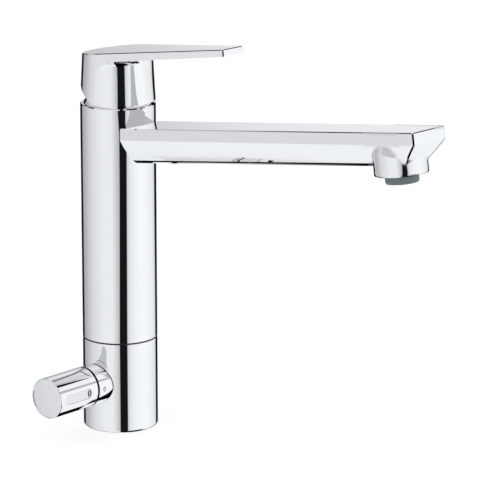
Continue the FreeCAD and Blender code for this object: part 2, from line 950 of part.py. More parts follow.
def lever_solid():
    """Cap and arm in one, with a fillet where the underside of the arm meets the cap."""
    thinning = (lever_root_thickness - lever_tip_thickness) / lever_length
    beyond = 2 * lever_skirt_radius
    plate = slab(
        [
            (-beyond, 0),
            (lever_length, 0),
            (lever_length, -lever_tip_thickness),
            (-beyond, -lever_root_thickness - thinning * beyond),
        ],
        beyond,
    )
    cap = lever_cap(0)
    blank = joined([cap, placed(plate, lever_frame)])

    def under_ring(edge):
        above_skirt = middle(edge).z > lever_bottom + lever_under_fillet
        return above_skirt and edge.BoundBox.XLength < beyond and edge.Length > 2 * beyond

    blank = blank.makeFillet(lever_under_fillet, edges_where(blank, under_ring))
    outline = joined([lever_wedge(), cap])
    body = blank.common([outline], trim_tolerance).removeSplitter()
    top_normal = lever_frame.Rotation.multVec(up)

    def top_outline(edge):
        return abs((middle(edge) - lever_frame.Base).dot(top_normal)) < seat_gap

    def beside_tip(edge):
        at = lever_frame.inverse().multVec(middle(edge))
        return at.x > lever_length - lever_tip_edge and abs(at.y) > lever_tip_half_width / 2

    body = body.makeChamfer(lever_tip_edge, edges_where(body, beside_tip))
    return body.makeChamfer(lever_edge, edges_where(body, top_outline))


def lever():
    body = lever_solid()
    relief_rise = math.tan(math.radians(relief_angle_deg)) * reach
    relief = slab(
        [
            (relief_start, lever_bottom),
            (relief_start - reach, lever_bottom + relief_rise),
            (relief_start - reach, lever_bottom - reach),
            (relief_start, lever_bottom - reach),
        ],
        reach,
    )
    room = tube(lever_room_radius, 0, pivot_height, lever_top_height + reach)
    hub_bottom = pivot_height + lever_sphere + lever_hub_gap
    hub = tube(lever_hub_radius, 0, hub_bottom, lever_top_height + reach)
    cavity = room.common(below_lever_top(lever_roof)).cut(hub)
    bowl = Part.makeSphere(lever_sphere, Vector(0, 0, pivot_height))
    socket = Part.makeBox(
        stem_side + 2 * seat_gap,
        stem_width + 2 * seat_gap,
        stem_height + seat_gap,
        Vector(-stem_side / 2 - seat_gap, -stem_width / 2 - seat_gap, pivot_height),
    )
    return body.cut([
        relief,
        cavity,
        bowl,
        socket,
        back_bar(plug_radius + seat_gap, reach, lever_hub_radius),
        back_bar(set_screw_radius + seat_gap, lever_hub_radius, 0),
    ])


def back_bar(radius, outer, inner):
    """Round bar towards the back of the lever, between two distances from its axis."""
    start = Vector(-outer, 0, set_screw_height)
    return Part.makeCylinder(radius, outer - inner, start, Vector(1, 0, 0))


def lever_set_screw():
    return back_bar(set_screw_radius, lever_hub_radius, stem_side / 2)


def lever_plug():
    outer = lever_cap(seat_gap)
    inner = lever_cap(plug_length)
    return back_bar(plug_radius, reach, 0).common(outer).cut(inner)


# Side valve

def in_valve(shape):
    return placed(shape, valve_frame)


hex_bottom = collar_end - valve_hex_height - free_gap
hex_top = hex_bottom + valve_hex_height
neck_end = hex_top + valve_neck_length
cage_end = valve_seat + valve_cage_length
cage_bore = valve_cage_radius - valve_cage_wall
fixed_valve_disc_bottom = valve_seat + valve_seal_height
moving_valve_disc_bottom = fixed_valve_disc_bottom + valve_disc_height + pin_gap
dog_bottom = moving_valve_disc_bottom + valve_disc_height
dog_top = dog_bottom + valve_dog_height
clip_bottom = neck_end + pin_gap
spline_start = clip_bottom + clip_height


def valve_body():
    bore = spindle_radius + pin_gap
    body = turned([
        (cage_bore, valve_seat),
        (valve_cage_radius, valve_seat),
        (valve_cage_radius, cage_end),
        (valve_bore_radius - seat_gap, cage_end),
        (valve_bore_radius - seat_gap, hex_bottom),
        (valve_neck_radius, hex_bottom),
        (valve_neck_radius, neck_end),
        (bore, neck_end),
        (bore, dog_top + free_gap),
        (cage_bore, dog_top + free_gap),
    ])
    flange = hexagon(valve_hex_flats, valve_hex_height, hex_bottom)
    flange = flange.cut(tube(bore, 0, hex_bottom, hex_top))
    window = Part.makeCylinder(
        valve_window_radius,
        4 * valve_cage_radius,
        Vector(-2 * valve_cage_radius, 0, dog_bottom + valve_dog_height / 2),
        Vector(1, 0, 0),
    )
    return in_valve(joined([body, flange]).cut(window))


def valve_seat_seal():
    outer = cage_bore - seat_gap
    return in_valve(tube(outer, valve_inlet_radius, valve_seat, fixed_valve_disc_bottom))


def valve_body_seal():
    section = (valve_bore_radius - valve_cage_radius) / 2 - seat_gap
    centre = (valve_bore_radius + valve_cage_radius) / 2
    return in_valve(torus(centre, section, cage_end - section - seat_gap))


def butterfly(radius, bottom, top):
    """Two opposite sector openings of a ceramic disc."""
    sectors = []
    for turn in valve_opening_middles_deg:
        wedge = Part.makeCylinder(
            radius, top - bottom, Vector(0, 0, bottom), up, valve_opening_deg
        )
        wedge.rotate(origin, up, turn - valve_opening_deg / 2)
        sectors.append(wedge.cut(tube(valve_disc_hub, 0, bottom, top)))
    return sectors


def valve_fixed_disc():
    bottom = fixed_valve_disc_bottom
    top = bottom + valve_disc_height
    disc = tube(cage_bore - seat_gap, 0, bottom, top)
    return in_valve(disc.cut(butterfly(valve_inlet_radius, bottom, top)))


def valve_moving_disc():
    bottom = moving_valve_disc_bottom
    disc = tube(cage_bore - valve_disc_gap, 0, bottom, dog_bottom)
    openings = butterfly(valve_inlet_radius, bottom, dog_bottom)
    for opening in openings:
        opening.rotate(origin, up, 90)
    return in_valve(disc.cut(openings))


def spline(outer, bottom, top):
    """Toothed bar with pointed teeth."""
    points = []
    for i in range(2 * spline_teeth):
        radius = outer if i % 2 == 0 else outer - spline_depth
        points.append(polar(radius, 180 / spline_teeth * i))
    return prism(points, top - bottom, bottom)


def spindle_seal_height():
    return (dog_top + neck_end) / 2


def valve_spindle():
    dog = tube(cage_bore - valve_disc_gap, 0, dog_bottom, dog_top)
    dog = dog.cut(butterfly(valve_inlet_radius, dog_bottom, dog_top))
    shaft = tube(spindle_radius, 0, dog_top, spline_start)
    toothed = spline(spindle_radius, spline_start, spindle_end)
    half = spindle_seal_section + seat_gap
    seal_floor = spindle_radius - 2 * spindle_seal_section - seat_gap
    seal = spindle_seal_height()
    clip_floor = spindle_radius - spindle_seal_section
    return in_valve(joined([dog, shaft, toothed]).cut([
        tube(spindle_radius + pin_gap, seal_floor, seal - half, seal + half),
        tube(spindle_radius + pin_gap, clip_floor, clip_bottom, spline_start),
        tube(knob_screw_radius + seat_gap, 0, spindle_end - knob_screw_length, spindle_end),
    ]))


def valve_spindle_seal():
    radius = spindle_radius - spindle_seal_section
    return in_valve(torus(radius, spindle_seal_section, spindle_seal_height()))


def valve_clip():
    inner = spindle_radius - spindle_seal_section + seat_gap
    ring = tube(clip_radius, inner, clip_bottom, spline_start)
    mouth = Part.makeBox(
        2 * inner, clip_radius, clip_height, Vector(-inner, -clip_radius, clip_bottom)
    )
    return in_valve(ring.cut(mouth))


def pointer():
    """Racetrack with a flat floor, sunk into the side of the grip."""
    radius = pointer_width / 2
    first = knob_start + pointer_start + radius
    last = knob_start + pointer_start + pointer_length - radius
    floor = valve_radius - pointer_depth
    outward = Vector(1, 0, 0)
    ends = [
        Part.makeCylinder(radius, valve_radius, Vector(floor, 0, at), outward)
        for at in (first, last)
    ]
    run = Part.makeBox(valve_radius, pointer_width, last - first, Vector(floor, -radius, first))
    return joined([run] + ends)


def valve_grip():
    grip = tube(valve_radius, 0, knob_start, knob_end)
    rims = edges_where(grip, lambda e: e.Length > 6 * valve_radius)
    grip = grip.makeFillet(knob_edge, rims).cut(pointer())

    def around_pointer(edge):
        at = middle(edge)
        outside = abs(math.hypot(at.x, at.y) - valve_radius) < seat_gap
        inner = abs(at.y) < pointer_width
        return outside and inner and knob_start + knob_edge < at.z < knob_end - pointer_margin + seat_gap

    grip = grip.makeFillet(pointer_edge, edges_where(grip, around_pointer))
    return in_valve(grip.cut([
        tube(valve_radius - knob_wall, 0, knob_start, knob_start + knob_room),
        spline(spindle_radius + seat_gap, knob_start + knob_room, spindle_end + seat_gap),
        tube(knob_screw_hole_radius, 0, spindle_end, hub_end),
        tube(cap_spigot_radius, 0, hub_end, cap_bottom),
        tube(valve_radius - cap_rim, 0, cap_bottom, knob_end),
    ]))


def valve_grip_screw():
    head_bottom = hub_end
    shank = tube(knob_screw_radius, 0, spindle_end - knob_screw_length + free_gap, head_bottom)
    head = tube(knob_screw_head_radius, 0, head_bottom, head_bottom + knob_screw_head_height)
    return in_valve(joined([shank, head]))


def valve_grip_cap():
    radius = valve_radius - cap_rim - seat_gap
    rim = Vector(radius, 0, knob_end - cap_crown)
    crown = (radius ** 2 + cap_crown ** 2) / (2 * cap_crown)
    half_turn = math.asin(radius / crown) / 2
    halfway = Vector(
        crown * math.sin(half_turn), 0, knob_end - crown + crown * math.cos(half_turn)
    )
    top = Vector(0, 0, knob_end)
    foot = Vector(radius, 0, cap_bottom)
    centre = Vector(0, 0, cap_bottom)
    outline = Part.Wire([
        Part.LineSegment(centre, foot).toShape(),
        Part.LineSegment(foot, rim).toShape(),
        Part.Arc(rim, halfway, top).toShape(),
        Part.LineSegment(top, centre).toShape(),
    ])
    disc = Part.Face(outline).revolve(origin, up, 360)
    outer = cap_spigot_radius - seat_gap
    spigot = tube(outer, outer - cap_spigot_wall, cap_bottom - cap_spigot_length, cap_bottom)
    return in_valve(joined([disc, spigot]))


lower_seal_height, upper_seal_height = spout_seal_heights()
parts = {
    "base_body": base_body(),
    "base_seal": base_seal(),
    "lower_slide_ring": lower_slide_ring(),
    "upper_slide_ring": upper_slide_ring(),
    "inner_core": inner_core(),
    "lower_spout_seal": spout_seal(lower_seal_height),
    "upper_spout_seal": spout_seal(upper_seal_height),
    "swivel_stop_pin": stop_pin_bar(stop_pin_radius),
    "spout": spout(),
    "aerator_seal": aerator_seal(),
    "aerator_housing": aerator_housing(),
    "aerator_jet_disc": jet_disc(),
    "aerator_straightener": flow_straightener(),
    "cartridge_base": cartridge_base(),
    "cartridge_port_seals": cartridge_port_seals(),
    "cartridge_housing": cartridge_housing(),
    "fixed_ceramic_disc": fixed_ceramic_disc(),
    "moving_ceramic_disc": moving_ceramic_disc(),
    "disc_carrier": disc_carrier(),
    "stem_guide": stem_guide(),
    "pivot_pin": pivot_pin(),
    "lever_stem": lever_stem(),
    "cartridge_nut": cartridge_nut(),
    "cover_cap": cover_cap(),
    "lever": lever(),
    "lever_set_screw": lever_set_screw(),
    "lever_plug": lever_plug(),
    "valve_body": valve_body(),
    "valve_body_seal": valve_body_seal(),
    "valve_seat_seal": valve_seat_seal(),
    "valve_fixed_disc": valve_fixed_disc(),
    "valve_moving_disc": valve_moving_disc(),
    "valve_spindle": valve_spindle(),
    "valve_spindle_seal": valve_spindle_seal(),
    "valve_clip": valve_clip(),
    "valve_grip": valve_grip(),
    "valve_grip_screw": valve_grip_screw(),
    "valve_grip_cap": valve_grip_cap(),
}

os.makedirs("parts", exist_ok=True)
for name, shape in parts.items():
    shape.exportStep("parts/" + name + ".step")
    print(name, len(shape.Solids), shape.isValid(), round(shape.Volume, 1))
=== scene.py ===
import json
import math

import bmesh
import bpy
from mathutils import Matrix, Vector


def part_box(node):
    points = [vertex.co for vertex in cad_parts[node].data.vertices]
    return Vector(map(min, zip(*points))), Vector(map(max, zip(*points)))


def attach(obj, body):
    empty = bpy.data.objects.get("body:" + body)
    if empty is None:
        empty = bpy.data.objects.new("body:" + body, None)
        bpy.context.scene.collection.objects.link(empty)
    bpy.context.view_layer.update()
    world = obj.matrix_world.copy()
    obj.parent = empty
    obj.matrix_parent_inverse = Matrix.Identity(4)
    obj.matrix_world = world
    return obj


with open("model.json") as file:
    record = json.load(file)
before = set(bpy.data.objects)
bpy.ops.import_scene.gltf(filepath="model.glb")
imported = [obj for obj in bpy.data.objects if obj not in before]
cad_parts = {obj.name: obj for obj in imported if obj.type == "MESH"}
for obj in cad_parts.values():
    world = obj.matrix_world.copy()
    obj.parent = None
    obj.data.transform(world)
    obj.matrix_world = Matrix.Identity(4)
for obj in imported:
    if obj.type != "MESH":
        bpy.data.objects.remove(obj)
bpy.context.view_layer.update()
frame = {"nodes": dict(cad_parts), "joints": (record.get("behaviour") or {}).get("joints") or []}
scene = bpy.context.scene
scene.view_settings.view_transform = "Standard"

MM = 0.001


# Camera: the viewing angle of the photograph, in degrees and metres, with its lens in millimetres

VIEW_AZIMUTH = 43.489
VIEW_ELEVATION = 14.553
VIEW_DISTANCE = 2.0785
VIEW_LENS = 253.15
SENSOR_WIDTH = 36.0
VIEW_DEPTH = 20.0
AIM_SIDE = 0.074339
AIM_HEIGHT = 0.117406

azimuth = math.radians(VIEW_AZIMUTH)


def make_camera():
    elevation = math.radians(VIEW_ELEVATION)
    right = Vector((math.cos(azimuth), math.sin(azimuth), 0))
    back = Vector((
        math.sin(azimuth) * math.cos(elevation),
        -math.cos(azimuth) * math.cos(elevation),
        math.sin(elevation),
    ))
    up = back.cross(right)
    aim = right * AIM_SIDE + Vector((0, 0, AIM_HEIGHT))
    data = bpy.data.cameras.new("camera")
    data.lens = VIEW_LENS
    data.sensor_width = SENSOR_WIDTH
    data.clip_end = VIEW_DEPTH
    camera = bpy.data.objects.new("camera", data)
    turned = Matrix((right, up, back)).transposed().to_4x4()
    camera.matrix_world = Matrix.Translation(aim + back * VIEW_DISTANCE) @ turned
    scene.collection.objects.link(camera)
    scene.camera = camera


make_camera()


# Node helpers

class Graph:
    """Adds nodes to a tree and links their sockets."""

    def __init__(self, tree):
        self.tree = tree
        tree.nodes.clear()

    def node(self, kind, **settings):
        made = self.tree.nodes.new(kind)
        for key, value in settings.items():
            setattr(made, key, value)
        return made

    def link(self, source, target):
        self.tree.links.new(source, target)

    def feed(self, value, socket):
        """Sets a socket to a plain value, or links it to another node's output."""
        if isinstance(value, (int, float, tuple)):
            socket.default_value = value
        else:
            self.link(value, socket)

    def math(self, operation, first, second=0.0, third=0.0):
        made = self.node("ShaderNodeMath", operation=operation)
        for value, socket in zip((first, second, third), made.inputs):
            self.feed(value, socket)
        return made.outputs[0]

    def both(self, first, second):
        """Product of two masks."""
        return self.math("MULTIPLY", first, second)

    def either(self, first, second):
        """Higher of two masks."""
        return self.math("MAXIMUM", first, second)

    def vector(self, operation, first, second=(0.0, 0.0, 0.0)):
        made = self.node("ShaderNodeVectorMath", operation=operation)
        self.feed(first, made.inputs[0])
        self.feed(second, made.inputs[1])
        single = operation in ("LENGTH", "DOT_PRODUCT")
        return made.outputs["Value" if single else "Vector"]

    def axes(self, vector):
        """X, Y and Z of a vector."""
        made = self.node("ShaderNodeSeparateXYZ")
        self.link(vector, made.inputs[0])
        return made.outputs

    def place(self):
        """Point of the surface, in the frame of the part at rest."""
        return self.node("ShaderNodeTexCoord").outputs["Object"]

    def step(self, value, start, end):
        """Smooth step from 0 at start to 1 at end, which may be the lower of the two."""
        made = self.node("ShaderNodeMapRange", interpolation_type="SMOOTHSTEP")
        self.feed(value, made.inputs["Value"])
        made.inputs["From Min"].default_value = start
        made.inputs["From Max"].default_value = end
        return made.outputs["Result"]

    def band(self, value, start, low, high, end):
        """1 from low to high, and 0 before start and after end."""
        return self.both(self.step(value, start, low), self.step(value, end, high))

    def between(self, value, low, high):
        """Spreads 0 to 1 over low to high."""
        made = self.node("ShaderNodeMapRange")
        self.feed(value, made.inputs["Value"])
        made.inputs["To Min"].default_value = low
        made.inputs["To Max"].default_value = high
        return made.outputs["Result"]

    def mix(self, factor, first, second, kind="RGBA"):
        made = self.node("ShaderNodeMix", data_type=kind)
        self.feed(factor, made.inputs["Factor"])
        self.feed(first, made.inputs["A"])
        self.feed(second, made.inputs["B"])
        return made.outputs["Result"]

    def ramp(self, value, stops):
        """Colour ramp over (position, colour) stops in rising order."""
        made = self.node("ShaderNodeValToRGB")
        elements = made.color_ramp.elements
        elements[0].position, elements[0].color = stops[0]
        elements[1].position, elements[1].color = stops[-1]
        for position, colour in stops[1:-1]:
            elements.new(position).color = colour
        self.feed(value, made.inputs["Fac"])
        return made.outputs["Color"]


def linear(display):
    """Linear light for a tone as it shows on the screen, by the sRGB curve."""
    if display <= 0.04045:
        return display / 12.92
    return ((display + 0.055) / 1.055) ** 2.4


def grey(display, tint=0.0):
    """Grey of a display tone, tinted towards blue."""
    level = linear(display)
    return (level * (1 - tint), level, level * (1 + tint), 1.0)


# World: a white tent with dark flags, fixed in the room, which the plating mirrors.
# Bearings are degrees round the tap from the front of the set, positive to the right.
# Heights are sines of the elevation.

TINT = 0.02
BLACK = 0.09
DARK = 0.02
WHITE = (1.0, 1.0, 1.0, 1.0)
UPPER_TENT = (
    (-180, 0.93), (-178.6, 0.90), (-177.4, 0.845), (-176.6, 0.80), (-176, 0.76), (-165.2, 0.80),
    (-164.8, BLACK), (-140, BLACK), (-139, 0.67), (-120, 0.73), (-94, 0.85), (-86, 0.875), (-60, 0.925),
    (-46, 0.95), (-20, 0.945), (-10, 0.865), (-2, 0.77), (0, 0.75), (0.6, BLACK), (23.8, BLACK),
    (24.4, 0.83), (34, 0.92), (48, 0.97), (72, 1.0), (95, 0.99), (125, 0.94), (142.5, 0.86),
    (144, BLACK), (164.8, BLACK), (165.2, 0.96), (178, 0.935), (180, 0.93),
)
LOWER_TENT = (
    (-180, DARK), (-166.8, 0.06), (-165, 0.90), (-164.4, 0.90), (-164, DARK), (-126, DARK), (-125, 0.95),
    (-90, 0.97), (90, 0.97), (136, 0.98), (142, 0.94), (143, DARK), (180, DARK),
)
UPPER_TENT_STARTS = (-0.60, -0.52)
BACK_FLAG_BEARING = (164.8, 165.4)
BACK_FLAG_HEIGHT = (-0.47, -0.42, -0.05, -0.02)
ROOF_STARTS = (0.708, 0.713)
ROOF_TONE = 0.86
GROUND_STARTS = (-0.84, -0.90)
GROUND_TONE = 0.93

# Cards in front of the tent: their left and right bearing, their lowest and highest height,
# their tone and how soft their edges are. Those hung later cover those before.
# All heights lie between BELOW_ALL and ABOVE_ALL.
SHARP = 0.008
SOFT = 0.06
BELOW_ALL = -1.1
ABOVE_ALL = 1.1
CARDS = (
    (-124, -109, 0.60, 0.76, DARK, SHARP),
    (110, 145, 0.655, 0.76, DARK, SHARP),
    (145, 172, 0.50, 0.76, 0.66, SHARP),
    (24, 98, 0.30, 0.56, 0.74, SHARP),
    (97, 135, 0.22, 0.41, 0.76, SHARP),
    (-88, -22, 0.02, 0.46, 0.78, SHARP),
    (-130, -96, BELOW_ALL, -0.80, 0.82, SOFT),
    (0, 84, BELOW_ALL, -0.47, DARK, SHARP),
    (79, 160, BELOW_ALL, -0.76, DARK, SHARP),
    (164, 181, -0.64, -0.40, DARK, SHARP),
    (59, 110, 0.76, ABOVE_ALL, DARK, SHARP),
)


def tent_stops(tones):
    return [(bearing / 360 + 0.5, grey(tone, TINT)) for bearing, tone in tones]


def hang_card(g, tent, bearing, height, card):
    """Tent with a card of one tone hung in front of it."""
    left, right, bottom, top, tone, soft = card
    middle = math.radians((left + right) / 2)
    half = math.radians((right - left) / 2)
    away = g.math("ABSOLUTE", g.math("SUBTRACT", bearing, middle))
    across = g.step(away, half + soft, half)
    upright = g.band(height, bottom - soft, bottom, top, top + soft)
    return g.mix(g.both(across, upright), tent, grey(tone, TINT))


def make_world():
    world = bpy.data.worlds.new("tent")
    scene.world = world
    world.use_nodes = True
    g = Graph(world.node_tree)
    x, y, z = g.axes(g.node("ShaderNodeTexCoord").outputs["Generated"])
    cos_a = math.cos(azimuth)
    sin_a = math.sin(azimuth)
    side = g.math("MULTIPLY_ADD", x, cos_a, g.math("MULTIPLY", y, sin_a))
    front = g.math("MULTIPLY_ADD", x, sin_a, g.math("MULTIPLY", y, -cos_a))
    bearing = g.math("ARCTAN2", side, front)
    turn = g.math("MULTIPLY_ADD", bearing, 1 / (2 * math.pi), 0.5)
    upper = g.ramp(turn, tent_stops(UPPER_TENT))
    lower = g.ramp(turn, tent_stops(LOWER_TENT))
    tent = g.mix(g.step(z, *UPPER_TENT_STARTS), lower, upper)

    flag_start, flag_end = [math.radians(edge) for edge in BACK_FLAG_BEARING]
    behind = g.step(g.math("ABSOLUTE", bearing), flag_start, flag_end)
    back_flag = g.both(behind, g.band(z, *BACK_FLAG_HEIGHT))
    tent = g.mix(back_flag, tent, grey(DARK))

    tent = g.mix(g.step(z, *ROOF_STARTS), tent, grey(ROOF_TONE, TINT))
    tent = g.mix(g.step(z, *GROUND_STARTS), tent, grey(GROUND_TONE, TINT))
    for card in CARDS:
        tent = hang_card(g, tent, bearing, z, card)

    seen = g.node("ShaderNodeLightPath").outputs["Is Camera Ray"]
    background = g.node("ShaderNodeBackground")
    g.link(g.mix(seen, tent, WHITE), background.inputs["Color"])
    background.inputs["Strength"].default_value = 1.0
    out = g.node("ShaderNodeOutputWorld")
    g.link(background.outputs[0], out.inputs["Surface"])


make_world()


# Places on the part that the materials follow, from the frame where it has them

_, base_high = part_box("base_body")
lever_low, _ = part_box("lever")
grip_low, grip_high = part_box("valve_grip")
valve_joint = next(joint for joint in frame["joints"] if joint["name"] == "valve_turn")
valve_out = Vector(valve_joint["axis"])
valve_across = Vector((0, 0, 1)).cross(valve_out)

BODY_RADIUS = base_high[0]
LEVER_BOTTOM = lever_low[2]
VALVE_HEIGHT = valve_joint["pos_m"][2]
VALVE_RADIUS = (grip_high[2] - grip_low[2]) / 2
COLUMN_TOP = 204.4 * MM
MOUTH_RADIUS = 21.2 * MM
COLLAR_END = 31.6 * MM
GRIP_START = 32.8 * MM
POINTER_FLOOR = 11.65 * MM
POINTER_START = 38.8 * MM
POINTER_END = 61.3 * MM
NOZZLE_POINT = (0.22471, 0.0, 0.22234)
NOZZLE_AXIS = (0.1416, 0.0, -0.9899)


def from_column_axis(g):
    return g.vector("LENGTH", g.vector("MULTIPLY", g.place(), (1.0, 1.0, 0.0)))


def above_worktop(g):
    return g.axes(g.place())["Z"]


def along_valve(g):
    """Distance from the axis of the column, along the valve."""
    return g.vector("DOT_PRODUCT", g.place(), tuple(valve_out))


def from_valve_axis(g):
    offset = g.vector("SUBTRACT", g.place(), (0.0, 0.0, VALVE_HEIGHT))
    return g.vector("LENGTH", g.vector("CROSS_PRODUCT", offset, tuple(valve_out)))


# Painted shade in gaps, corners and recesses: each edge goes from where its mask is 0 to where it is 1

COLLAR_FACE = (COLLAR_END - 0.1 * MM, COLLAR_END - 0.02 * MM)
COLLAR_CORNER = (
    BODY_RADIUS + 0.04 * MM, BODY_RADIUS + 0.1 * MM, BODY_RADIUS + 0.7 * MM, BODY_RADIUS + 0.9 * MM
)
MOUTH_WALL = (MOUTH_RADIUS + 0.06 * MM, MOUTH_RADIUS + 0.02 * MM)
MOUTH_DEPTH = (COLUMN_TOP - 9 * MM, COLUMN_TOP - 8 * MM)
COVER_SKIRT = (COLUMN_TOP + 0.12 * MM, COLUMN_TOP + 0.06 * MM)
LEVER_WALL = (MOUTH_RADIUS + 0.3 * MM, MOUTH_RADIUS)
LEVER_DEPTH = (LEVER_BOTTOM + 9 * MM, LEVER_BOTTOM + 8 * MM)
GRIP_FACE = (GRIP_START + 0.2 * MM, GRIP_START + 0.1 * MM)
POINTER_DEPTH = (VALVE_RADIUS - 0.05 * MM, VALVE_RADIUS - 0.25 * MM)
POINTER_LENGTH = (
    POINTER_START - 0.6 * MM, POINTER_START - 0.4 * MM, POINTER_END + 0.4 * MM, POINTER_END + 0.6 * MM
)
# Share of painted shade in the sunk pointer
POINTER_SHADE = 0.13


def base_shade(g):
    """Painted shade on the end face of the collar, and a painted shade line in the corner where the collar
    meets the base.
    """
    face = g.step(along_valve(g), *COLLAR_FACE)
    return g.either(face, g.band(from_column_axis(g), *COLLAR_CORNER))


def mouth_bore_shade(g):
    """Painted shade on the bore of the column's mouth, round the cover."""
    return g.both(g.step(from_column_axis(g), *MOUTH_WALL), g.step(above_worktop(g), *MOUTH_DEPTH))


def cover_skirt_shade(g):
    """Painted shade on the skirt of the cover, inside the column's mouth."""
    return g.step(above_worktop(g), *COVER_SKIRT)


def lever_inside_shade(g):
    """Painted shade inside the lever's cap, over the cover."""
    return g.both(g.step(from_column_axis(g), *LEVER_WALL), g.step(above_worktop(g), *LEVER_DEPTH))


def grip_shade(g):
    """Painted shade on the end face of the grip, inside the gap, and a lighter painted shade in its sunk
    pointer.
    """
    outward = along_valve(g)
    sunk = g.both(g.step(from_valve_axis(g), *POINTER_DEPTH), g.band(outward, *POINTER_LENGTH))
    # Lighter painted shade in the sunk pointer
    sunk_shade = g.math("MULTIPLY", sunk, POINTER_SHADE)
    return g.either(g.step(outward, *GRIP_FACE), sunk_shade)


# Softened normals

CAP_POLE = (2.2 * MM, 1.8 * MM)
NOZZLE_REACH = (20 * MM, 17 * MM)
FAR_END_X = (232 * MM, 236 * MM)
FAR_END_Y = (3 * MM, 6 * MM)
CASTING_ROUNDING = 2.5 * MM
ROUNDING_SAMPLES = 8


def flat_pole(g):
    """Flat normals at the middle of the cap, where the crown's facets meet in one point."""
    near = g.step(from_valve_axis(g), *CAP_POLE)
    surface = g.node("ShaderNodeNewGeometry").outputs
    return g.mix(near, surface["Normal"], surface["True Normal"], "VECTOR")


def soft_nozzle(g):
    """Rounded normals where the nozzle boss comes out of the flanks, and on the casting's far end."""
    place = g.place()
    offset = g.vector("SUBTRACT", place, NOZZLE_POINT)
    away = g.vector("LENGTH", g.vector("CROSS_PRODUCT", offset, NOZZLE_AXIS))
    axes = g.axes(place)
    far_end = g.both(g.step(axes["X"], *FAR_END_X), g.step(axes["Y"], *FAR_END_Y))
    where = g.either(g.step(away, *NOZZLE_REACH), far_end)
    rounded = g.node("ShaderNodeBevel", samples=ROUNDING_SAMPLES)
    rounded.inputs["Radius"].default_value = CASTING_ROUNDING
    plain = g.node("ShaderNodeNewGeometry").outputs["Normal"]
    return g.mix(where, plain, rounded.outputs[0], "VECTOR")


# Materials: each look has two colours that a noise mixes, its range of roughness, the scale of the noise,
# how far the noise shows as bump, and for turned metal how much the noise is drawn out

EVEN = (1.0, 1.0, 1.0)
METAL_DETAIL = 3.0
METAL_RELIEF = 0.02 * MM
PLASTIC_DETAIL = 4.0
PLASTIC_RELIEF = 0.05 * MM
# Painted shade: near black, mixed into the chrome in gaps, corners and recesses
PAINTED_SHADE = (0.012, 0.012, 0.012, 1)
CHROME = {
    "pale": (0.955, 0.96, 0.97, 1),
    "deep": (0.93, 0.935, 0.945, 1),
    "rough": (0.012, 0.03),
    "scale": 45.0,
    "bump": 0.01,
}
METALS = {
    "chrome_inner": {
        "pale": (0.72, 0.72, 0.73, 1),
        "deep": (0.5, 0.5, 0.52, 1),
        "rough": (0.2, 0.34),
        "scale": 260.0,
        "bump": 0.2,
        "stretch": (1, 1, 9),
    },
    "brass": {
        "pale": (0.83, 0.64, 0.31, 1),
        "deep": (0.66, 0.48, 0.21, 1),
        "rough": (0.2, 0.36),
        "scale": 220.0,
        "bump": 0.25,
        "stretch": (1, 1, 8),
    },
}
PLASTICS = {
    "aerator_grey": {
        "pale": (0.27, 0.345, 0.33, 1),
        "deep": (0.20, 0.265, 0.255, 1),
        "rough": (0.38, 0.52),
        "scale": 900.0,
        "bump": 0.1,
    },
    "plastic_pale": {
        "pale": (0.80, 0.80, 0.75, 1),
        "deep": (0.70, 0.70, 0.65, 1),
        "rough": (0.35, 0.5),
        "scale": 700.0,
        "bump": 0.1,
    },
    "plastic_dark": {
        "pale": (0.022, 0.022, 0.024, 1),
        "deep": (0.012, 0.012, 0.013, 1),
        "rough": (0.4, 0.55),
        "scale": 700.0,
        "bump": 0.1,
    },
    "ceramic": {
        "pale": (0.88, 0.87, 0.82, 1),
        "deep": (0.82, 0.80, 0.74, 1),
        "rough": (0.12, 0.22),
        "scale": 1500.0,
        "bump": 0.05,
    },
    "rubber": {
        "pale": (0.022, 0.022, 0.022, 1),
        "deep": (0.010, 0.010, 0.010, 1),
        "rough": (0.6, 0.8),
        "scale": 1200.0,
        "bump": 0.2,
    },
    "plug_grey": {
        "pale": (0.42, 0.43, 0.44, 1),
        "deep": (0.36, 0.37, 0.38, 1),
        "rough": (0.2, 0.3),
        "scale": 800.0,
        "bump": 0.05,
    },
}
INK = {
    "pale": (0.03, 0.03, 0.03, 1),
    "deep": (0.015, 0.015, 0.015, 1),
    "rough": (0.45, 0.6),
    "scale": 2500.0,
    "bump": 0.1,
}


def material(name):
    made = bpy.data.materials.new(name)
    made.use_nodes = True
    return made, Graph(made.node_tree)


def noise(g, scale, detail, stretch=EVEN):
    mapping = g.node("ShaderNodeMapping")
    g.link(g.place(), mapping.inputs["Vector"])
    mapping.inputs["Scale"].default_value = stretch
    made = g.node("ShaderNodeTexNoise")
    g.link(mapping.outputs[0], made.inputs["Vector"])
    made.inputs["Scale"].default_value = scale
    made.inputs["Detail"].default_value = detail
    return made.outputs["Fac"]


def finish_surface(g, shader, height, strength, relief, normal=None):
    """Adds fine relief to a shader and makes it the surface."""
    bump = g.node("ShaderNodeBump")
    bump.inputs["Strength"].default_value = strength
    bump.inputs["Distance"].default_value = relief
    g.link(height, bump.inputs["Height"])
    if normal:
        g.link(normal, bump.inputs["Normal"])
    g.link(bump.outputs[0], shader.inputs["Normal"])
    out = g.node("ShaderNodeOutputMaterial")
    g.link(shader.outputs[0], out.inputs["Surface"])


def metal(name, pale, deep, rough, scale, bump, stretch=EVEN, soften=None, shade=None):
    """Metal with a faint cloud in its colour and gloss, softened normals and painted shade in its gaps and
    recesses.
    """
    made, g = material(name)
    shader = g.node("ShaderNodeBsdfPrincipled")
    shader.inputs["Metallic"].default_value = 1.0
    cloud = noise(g, scale, METAL_DETAIL, stretch)
    colour = g.mix(cloud, deep, pale)
    if shade:
        # Paints shade into the colour where the mask is 1
        colour = g.mix(shade(g), colour, PAINTED_SHADE)
    g.link(colour, shader.inputs["Base Color"])
    g.link(g.between(cloud, *rough), shader.inputs["Roughness"])
    normal = soften(g) if soften else None
    finish_surface(g, shader, cloud, bump, METAL_RELIEF, normal)
    return made


